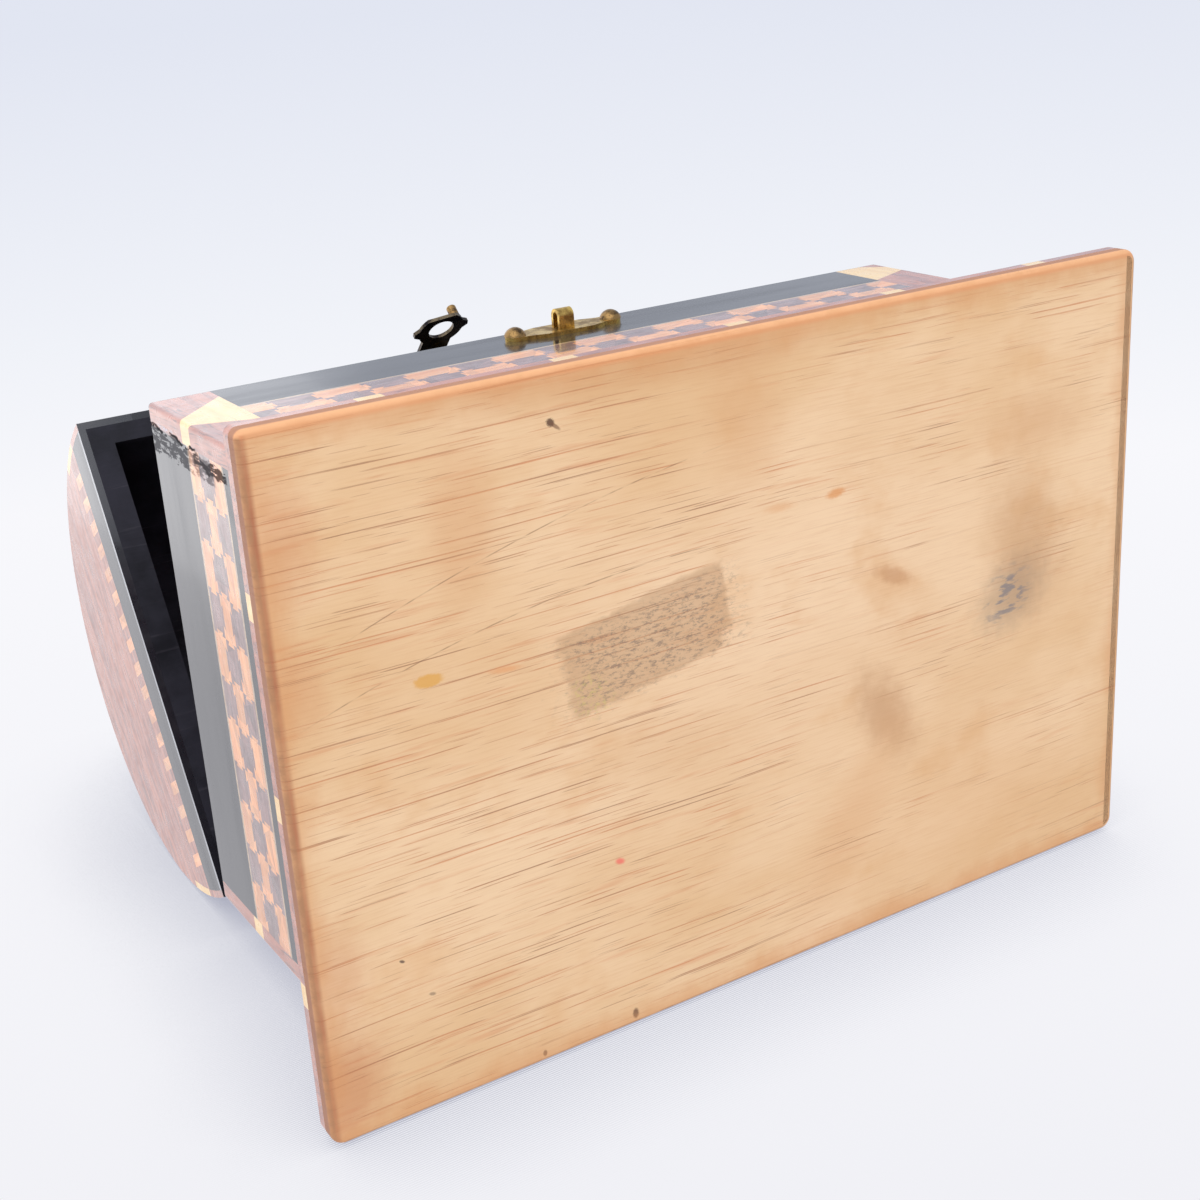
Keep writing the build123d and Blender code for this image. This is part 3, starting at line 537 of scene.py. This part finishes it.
ROSEWOOD = dict(pale=(190, 112, 82), deep=(146, 76, 56), streak=(66, 36, 30), contrast=0.9)
LEMONWOOD = dict(pale=(248, 206, 132), deep=(238, 188, 112), streak=(214, 158, 86),
                 contrast=0.5)
LIGHT_TILE = dict(pale=(242, 168, 106), deep=(224, 142, 84), streak=(174, 96, 54),
                  contrast=0.6, island=0.16, figure=3.0)
DARK_TILE = dict(pale=(142, 104, 98), deep=(112, 78, 74), streak=(58, 40, 40), contrast=0.8,
                 island=0.24, figure=3.0)
PALE_STRING = dict(pale=(190, 158, 122), deep=(164, 132, 98), streak=(120, 88, 62),
                   contrast=0.5)
# A pale bluish grey for the strip along the lid's rim.
PALE_GREY_EDGE = dict(pale=(150, 152, 158), deep=(112, 112, 120), streak=(70, 68, 74))

VENEERS = {"rosewood": ROSEWOOD, "lemonwood": LEMONWOOD, "light_tile": LIGHT_TILE,
           "dark_tile": DARK_TILE, "stringing": PALE_STRING, "pale_grey_edge": PALE_GREY_EDGE}
BRASSES = {"brass": ((224, 188, 104), (152, 120, 66), 0.12),
           "brass_dull": ((150, 118, 74), (84, 66, 46), 0.04),
           "brass_dark": ((104, 92, 74), (44, 40, 42), 0.06)}
MADE = {}


def finish(kind, grain="X", on_lid=False):
    """The material of one kind and grain, on the box or on the lid, made when first asked for."""
    name = f"{kind}_{grain}_{'lid' if on_lid else 'box'}"
    if name not in MADE:
        if kind in VENEERS:
            MADE[name] = veneer(name, on_lid, grain, **VENEERS[kind])
        elif kind in BRASSES:
            MADE[name] = brass(name, *BRASSES[kind])
        elif kind == "lacquer":
            MADE[name] = lacquer(name, on_lid, grain)
        elif kind == "stained_core":
            MADE[name] = stained_core(name, on_lid)
        else:
            MADE[name] = {"plywood": plywood, "felt": felt}[kind]()
    return MADE[name]


def finish_of(node, slot):
    """The finish of a CAD node: its slot's, with the grain along the piece."""
    special = {"hasp_flap": "brass_dark", "hasp_post": "brass_dull", "staple_nails": "brass_dull",
               "hasp_nails": "brass_dull", "lid_rim_strips": "pale_grey_edge",
               "lid_dash_ground": "rosewood"}
    upright = ("corner_rosewood", "corner_lemonwood", "lid_dashes")
    crosswise = ("lid_left_field", "lid_right_field", "lid_corner_rosewood",
                 "lid_corner_lemonwood", "lid_end_bands", "lid_rim_strips", "lid_dash_ground",
                 "left_upper_panel", "right_upper_panel", "left_light_tiles", "left_dark_tiles",
                 "right_light_tiles", "right_dark_tiles")
    grain = "Z" if node in upright else "Y" if node in crosswise else "X"
    return finish(special.get(node, slot), grain, NODES[node].parent == frame["bodies"]["lid"])


def dress(obj, material):
    """Gives an object one material on every face."""
    obj.data.materials.clear()
    obj.data.materials.append(material)
    for polygon in obj.data.polygons:
        polygon.material_index = 0


# ---- lid geometry, read from the frame ---------------------------------------------------
class Lid:
    """The closed lid's arc and how to turn a closed place to the rest pose."""

    def __init__(self):
        joint = next(joint for joint in frame["joints"] if joint["name"] == "lid_hinge")
        hinge = Matrix.Translation(Vector(joint["pos_m"]))
        opened = math.radians(-joint["range_deg"][0])
        turn = Matrix.Rotation(opened, 4, Vector(joint["axis"]))
        self.to_rest = hinge @ turn @ hinge.inverted()
        crown, edges, board = (self.closed_points(node) for node in
                               ("lid_crown_mosaic", "lid_edge_mosaics", "dome_board"))
        self.centre_y = (edges[:, 1].min() + edges[:, 1].max()) / 2
        self.fit_arc(np.concatenate((crown, edges)))
        self.floor = board[:, 2].min()
        self.x_range = (crown[:, 0].min(), crown[:, 0].max())
        self.crown = self.angles(crown)
        self.front = self.angles(edges[edges[:, 1] < self.centre_y])
        self.thick = self.radius - self.reach(crown).min()

    def closed_points(self, node):
        """The places of a CAD node's mesh points when the lid is closed."""
        to_closed = np.array(self.to_rest.inverted())
        points = np.array([v.co[:] for v in NODES[node].data.vertices])
        return points @ to_closed[:3, :3].T + to_closed[:3, 3]

    def fit_arc(self, points):
        """Least-squares arc through the strips' outer points, which each pass picks better."""
        self.centre_z, outer = 0.0, points
        passes, skin = 6, 0.7 * MM
        for _ in range(passes):
            across, height = outer[:, 1] - self.centre_y, outer[:, 2]
            terms = np.stack((2 * height, np.ones(len(outer))), axis=1)
            found = np.linalg.lstsq(terms, across**2 + height**2, rcond=None)[0]
            self.centre_z, self.radius = found[0], math.sqrt(found[1] + found[0] ** 2)
            outer = points[self.reach(points) > self.reach(points).max() - skin]

    def reach(self, points):
        """Each point's distance from the arc's centre line."""
        return np.hypot(points[:, 1] - self.centre_y, points[:, 2] - self.centre_z)

    def angles(self, points):
        """Lowest and highest angle of points round the arc, from the front rim upwards."""
        found = np.arctan2(points[:, 2] - self.centre_z, self.centre_y - points[:, 1])
        return found.min(), found.max()

    def place(self, x, angle, depth):
        """A point at rest: along x, round the arc and below its surface."""
        reach = self.radius - depth
        y, z = self.centre_y - reach * math.cos(angle), self.centre_z + reach * math.sin(angle)
        return self.to_rest @ Vector((x, y, z))


def side_run(start, end, tab):
    """Points from start towards end with a dovetail tab right of travel, or left if -1."""
    points = [start]
    if tab:
        run = end - start
        normal = Vector((run.y, -run.x)).normalized() * TAB_DEPTH * tab
        middle = (start + end) / 2
        for share, depth in ((-TAB_ROOT, 0), (-TAB_TIP, 1), (TAB_TIP, 1), (TAB_ROOT, 0)):
            points.append(middle + run * share + normal * depth)
    return points


def tile_loop(u0, u1, v0, v1, light, inner):
    """A tile's outline. Light tiles have tabs left and right, dark ones above and below."""
    side = 1 if light else -1
    below, right, above, left = inner
    corners = [Vector((u0, v0)), Vector((u1, v0)), Vector((u1, v1)), Vector((u0, v1))]
    tabs = (-side * below, side * right, -side * above, side * left)
    loop = []
    for k in range(4):
        loop += side_run(corners[k], corners[(k + 1) % 4], tabs[k])
    return loop


def mosaic(name, span, rows, light):
    """Curved tiles of one colour over an arc span of the lid, as one mesh of many tiles."""
    width = lid.x_range[1] - lid.x_range[0]
    columns = 2 * round(width / TILE_PITCH / 2)
    pitch = width / columns
    edges = [0.0, *[pitch * (k + 0.5) for k in range(columns)], width]
    arc = (span[1] - span[0]) * lid.radius
    height = arc / rows
    mesh = bmesh.new()
    for column in range(len(edges) - 1):
        full = 0 < column < len(edges) - 2
        for row in range(rows):
            if ((column + row) % 2 == 0) != light:
                continue
            inner = ((row > 0) * full, column < len(edges) - 2, (row < rows - 1) * full,
                     column > 0)
            loop = tile_loop(edges[column], edges[column + 1], row * height,
                             (row + 1) * height, light, inner)
            rings = []
            for depth in (0.0, lid.thick):
                rings.append([mesh.verts.new(lid.place(lid.x_range[0] + p.x,
                                                       span[0] + p.y / lid.radius, depth))
                              for p in loop])
            mesh.faces.new(rings[0])
            mesh.faces.new(rings[1][::-1])
            for k in range(len(loop)):
                after = (k + 1) % len(loop)
                mesh.faces.new((rings[0][k], rings[1][k], rings[1][after], rings[0][after]))
    bmesh.ops.recalc_face_normals(mesh, faces=mesh.faces)
    obj = from_bmesh(name, mesh)
    kind = "light_tile" if light else "dark_tile"
    dress(obj, finish(kind, "X", True))
    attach(obj, "lid")
    return obj


def from_bmesh(name, mesh):
    """An object in the scene that holds a bmesh."""
    data = bpy.data.meshes.new(name)
    mesh.to_mesh(data)
    mesh.free()
    obj = bpy.data.objects.new(name, data)
    bpy.context.scene.collection.objects.link(obj)
    return obj


def make_mosaics():
    """The lid's three tiled bands, which stand for the plain curved strips."""
    rear = (math.pi - lid.front[1], math.pi - lid.front[0])
    bands = (("lid_crown", "lid_crown_mosaic", lid.crown, 5),
             ("lid_front", "lid_edge_mosaics", lid.front, 3),
             ("lid_rear", "lid_edge_mosaics", rear, 3))
    for name, node, span, rows in bands:
        for light, role in ((True, "light"), (False, "dark")):
            tiles = mosaic(f"{name}_{role}_tiles", span, rows, light)
            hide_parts(node)


# ---- felt lining -------------------------------------------------------------------------
def soft_grid(mesh, corner, along, up, steps, lift):
    """A grid of points over a rectangle, each lifted a little along its normal by noise."""
    normal = along.cross(up).normalized()
    rows = []
    for j in range(steps[1] + 1):
        row = []
        for i in range(steps[0] + 1):
            point = corner + along * (i / steps[0]) + up * (j / steps[1])
            swell = noise.noise(point / (9 * MM)) * 0.6 + noise.noise(point / (2.5 * MM)) * 0.4
            row.append(mesh.verts.new(point + normal * swell * lift))
        rows.append(row)
    for lower, upper in zip(rows, rows[1:]):
        for i in range(steps[0]):
            mesh.faces.new((lower[i], lower[i + 1], upper[i + 1], upper[i]))


def make_felt():
    """Felt laid on the floor, and one strip for each inner face."""
    low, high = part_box("floor_felt")
    wall_low, wall_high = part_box("wall_felt")
    room = high.z - low.z
    thick, lift = room * FELT_FILL, room * FELT_SWELL
    span_x, span_y, rise = high.x - low.x, high.y - low.y, wall_high.z - wall_low.z
    x_axis, y_axis, z_axis = Vector((1, 0, 0)), Vector((0, 1, 0)), Vector((0, 0, 1))
    inset = lift + 0.1 * MM
    floor_z = high.z - inset
    sheets = (("felt_floor", "floor_felt", Vector((low.x, low.y, floor_z)), x_axis, y_axis,
               span_x, span_y),
              ("felt_front", "wall_felt", Vector((high.x, low.y + thick + inset, high.z)),
               -x_axis, z_axis, span_x, rise),
              ("felt_rear", "wall_felt", Vector((low.x, high.y - thick - inset, high.z)),
               x_axis, z_axis, span_x, rise),
              ("felt_left", "wall_felt",
               Vector((low.x + thick + inset, low.y + 2 * thick, high.z)), y_axis, z_axis,
               span_y - 4 * thick, rise),
              ("felt_right", "wall_felt",
               Vector((high.x - thick - inset, high.y - 2 * thick, high.z)), -y_axis, z_axis,
               span_y - 4 * thick, rise))
    for name, node, corner, along, up, width, length in sheets:
        mesh = bmesh.new()
        steps = (round(width / FELT_CELL), round(length / FELT_CELL))
        soft_grid(mesh, corner, along * width, up * length, steps, lift)
        obj = from_bmesh(name, mesh)
        pad = obj.modifiers.new("thickness", "SOLIDIFY")
        pad.thickness = thick
        pad.offset = -1
        obj.data.polygons.foreach_set("use_smooth", [True] * len(obj.data.polygons))
        dress(obj, finish("felt"))
        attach(obj, "box")
        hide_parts(node)


# ---- studio ------------------------------------------------------------------------------
def look_along(forward, up):
    """The rotation of a camera or lamp that faces forward."""
    back = -Vector(forward).normalized()
    right = Vector(up).cross(back).normalized()
    return Matrix((right, back.cross(right), back)).transposed().to_quaternion()


def make_camera():
    """The camera at the photograph's viewing angle."""
    data = bpy.data.cameras.new("camera")
    data.sensor_width = 36
    data.lens = CAMERA_LENS
    data.clip_start, data.clip_end = 0.01, 20
    camera = bpy.data.objects.new("camera", data)
    camera.location = Vector(CAMERA_PLACE) * MM
    camera.rotation_mode = "QUATERNION"
    camera.rotation_quaternion = look_along(CAMERA_FORWARD, CAMERA_UP)
    bpy.context.scene.collection.objects.link(camera)
    bpy.context.scene.camera = camera


def soft_box(name, at, target, size, power, colour, diffuse):
    """A square lamp that faces a target, and can be kept to mirrored light."""
    data = bpy.data.lights.new(name, "AREA")
    data.shape = "SQUARE"
    data.size = size
    data.energy = power
    data.color = colour
    lamp = bpy.data.objects.new(name, data)
    lamp.location = at
    lamp.rotation_mode = "QUATERNION"
    lamp.rotation_quaternion = look_along(Vector(target) - Vector(at), (0.1, 0.2, 1))
    lamp.visible_camera = False
    lamp.visible_diffuse = diffuse
    bpy.context.scene.collection.objects.link(lamp)


def make_world():
    """Pale surroundings, whiter towards the table side and bluer towards the photo's top."""
    world = bpy.data.worlds.new("studio")
    bpy.context.scene.world = world
    world.use_nodes = True
    nodes, links = world.node_tree.nodes, world.node_tree.links
    background = nodes["Background"]
    coords = nodes.new("ShaderNodeTexCoord")
    height = nodes.new("ShaderNodeVectorMath")
    height.operation = "DOT_PRODUCT"
    height.inputs[1].default_value = (0, -1, 0)
    ramp = nodes.new("ShaderNodeValToRGB")
    while len(ramp.color_ramp.elements) < len(WORLD_STEPS):
        ramp.color_ramp.elements.new(1.0)
    for element, (position, shade) in zip(ramp.color_ramp.elements, WORLD_STEPS):
        element.position = position
        element.color = tone(*shade)
    lift = nodes.new("ShaderNodeMath")
    lift.operation = "MULTIPLY_ADD"
    for halving in lift.inputs[1:3]:
        halving.default_value = 0.5
    links.new(coords.outputs["Generated"], height.inputs[0])
    links.new(height.outputs["Value"], lift.inputs[0])
    links.new(lift.outputs[0], ramp.inputs[0])
    links.new(ramp.outputs[0], background.inputs["Color"])
    background.inputs["Strength"].default_value = WORLD_STRENGTH


def one_sided(name, build):
    """A stage material that shows only from the side its faces point to."""
    material = bpy.data.materials.new(name)
    material.use_nodes = True
    tree = material.node_tree
    tree.nodes.clear()
    side = tree.nodes.new("ShaderNodeNewGeometry")
    clear = tree.nodes.new("ShaderNodeBsdfTransparent")
    mixed = tree.nodes.new("ShaderNodeMixShader")
    out = tree.nodes.new("ShaderNodeOutputMaterial")
    tree.links.new(side.outputs["Backfacing"], mixed.inputs[0])
    tree.links.new(build(tree), mixed.inputs[1])
    tree.links.new(clear.outputs[0], mixed.inputs[2])
    tree.links.new(mixed.outputs[0], out.inputs["Surface"])
    return material


def keep_to_camera(obj):
    """Stops a stage piece from shading or being mirrored in the object."""
    obj.visible_shadow = False
    obj.visible_diffuse = False
    obj.visible_glossy = False


def make_floor():
    """A pale floor under the base, which shows only from above and fades with distance."""
    mesh = bmesh.new()
    signs = ((-1, -1), (1, -1), (1, 1), (-1, 1))
    mesh.faces.new([mesh.verts.new((x * FLOOR_HALF, y * FLOOR_HALF, 0)) for x, y in signs])
    floor = from_bmesh("floor", mesh)

    def pale(tree):
        shader = tree.nodes.new("ShaderNodeBsdfDiffuse")
        shader.inputs["Color"].default_value = tone(*FLOOR_TONE)
        place = tree.nodes.new("ShaderNodeTexCoord")
        away = tree.nodes.new("ShaderNodeVectorMath")
        away.operation = "LENGTH"
        fade = tree.nodes.new("ShaderNodeMapRange")
        fade.interpolation_type = "SMOOTHSTEP"
        fade.inputs["From Min"].default_value, fade.inputs["From Max"].default_value = FLOOR_FADE
        clear = tree.nodes.new("ShaderNodeBsdfTransparent")
        mixed = tree.nodes.new("ShaderNodeMixShader")
        tree.links.new(place.outputs["Object"], away.inputs[0])
        tree.links.new(away.outputs["Value"], fade.inputs["Value"])
        tree.links.new(fade.outputs[0], mixed.inputs[0])
        tree.links.new(shader.outputs[0], mixed.inputs[1])
        tree.links.new(clear.outputs[0], mixed.inputs[2])
        return mixed.outputs[0]

    floor.data.materials.append(one_sided("floor", pale))
    keep_to_camera(floor)


def table_line():
    """Where the box lies on its back: a point at the base's edge, and the way up it."""
    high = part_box("base_border")[1]
    edge = Vector((high.y, high.z))
    middle = lid.to_rest @ Vector((0, lid.centre_y, lid.centre_z))
    to_middle = Vector((middle.y, middle.z)) - edge
    lean = math.atan2(to_middle.y, to_middle.x) - math.asin(lid.radius / to_middle.length)
    return edge, Vector((math.cos(lean), math.sin(lean)))


def make_contact_shadow():
    """The shadow where the box lies on its back, on slats that face down, so that it shows
    only from below. Each slat darkens what is behind it by how near the box is."""
    edge, way = table_line()
    out = Vector((way.y, -way.x))
    mesh = bmesh.new()
    for k in SLAT_NUMBERS:
        line = edge + way * (k * SLAT_STEP) + out * SLAT_GAP
        near = [mesh.verts.new((x, line.x, line.y)) for x in SLAT_ENDS]
        far = [mesh.verts.new((x, line.x + SLAT_DEPTH, line.y)) for x in SLAT_ENDS]
        mesh.faces.new((near[0], far[0], far[1], near[1]))
    slats = from_bmesh("contact_shadow", mesh)

    def shade(tree):
        near = tree.nodes.new("ShaderNodeAmbientOcclusion")
        near.samples = 8
        near.inputs["Distance"].default_value = SHADOW_REACH
        upward = tree.nodes.new("ShaderNodeCombineXYZ")
        for key, value in enumerate((0.0, -out.x, -out.y)):
            upward.inputs[key].default_value = value
        tree.links.new(upward.outputs[0], near.inputs["Normal"])
        ramp = tree.nodes.new("ShaderNodeValToRGB")
        ramp.color_ramp.elements[0].color = tone(*SHADOW_TONE)
        ramp.color_ramp.elements[0].position = 0.1
        ramp.color_ramp.elements[1].color = (1, 1, 1, 1)
        ramp.color_ramp.elements[1].position = 0.9
        tint = tree.nodes.new("ShaderNodeBsdfTransparent")
        tree.links.new(near.outputs["AO"], ramp.inputs[0])
        tree.links.new(ramp.outputs[0], tint.inputs[0])
        return tint.outputs[0]

    slats.data.materials.append(one_sided("contact_shadow", shade))
    keep_to_camera(slats)


def make_studio():
    """Camera, lamps, surroundings, floor and contact shadow."""
    bpy.context.scene.view_settings.view_transform = "Standard"
    make_camera()
    make_world()
    for lamp in LAMPS:
        soft_box(*lamp)
    make_floor()
    make_contact_shadow()


# ---- assembly ----------------------------------------------------------------------------
def main():
    """Dresses every CAD piece, then adds what only the visual model has."""
    for part in frame["record"]["subparts"]:
        dress(NODES[part["node"]], finish_of(part["node"], part["material_slot"]))
    make_mosaics()
    make_felt()
    make_studio()


lid = Lid()
main()
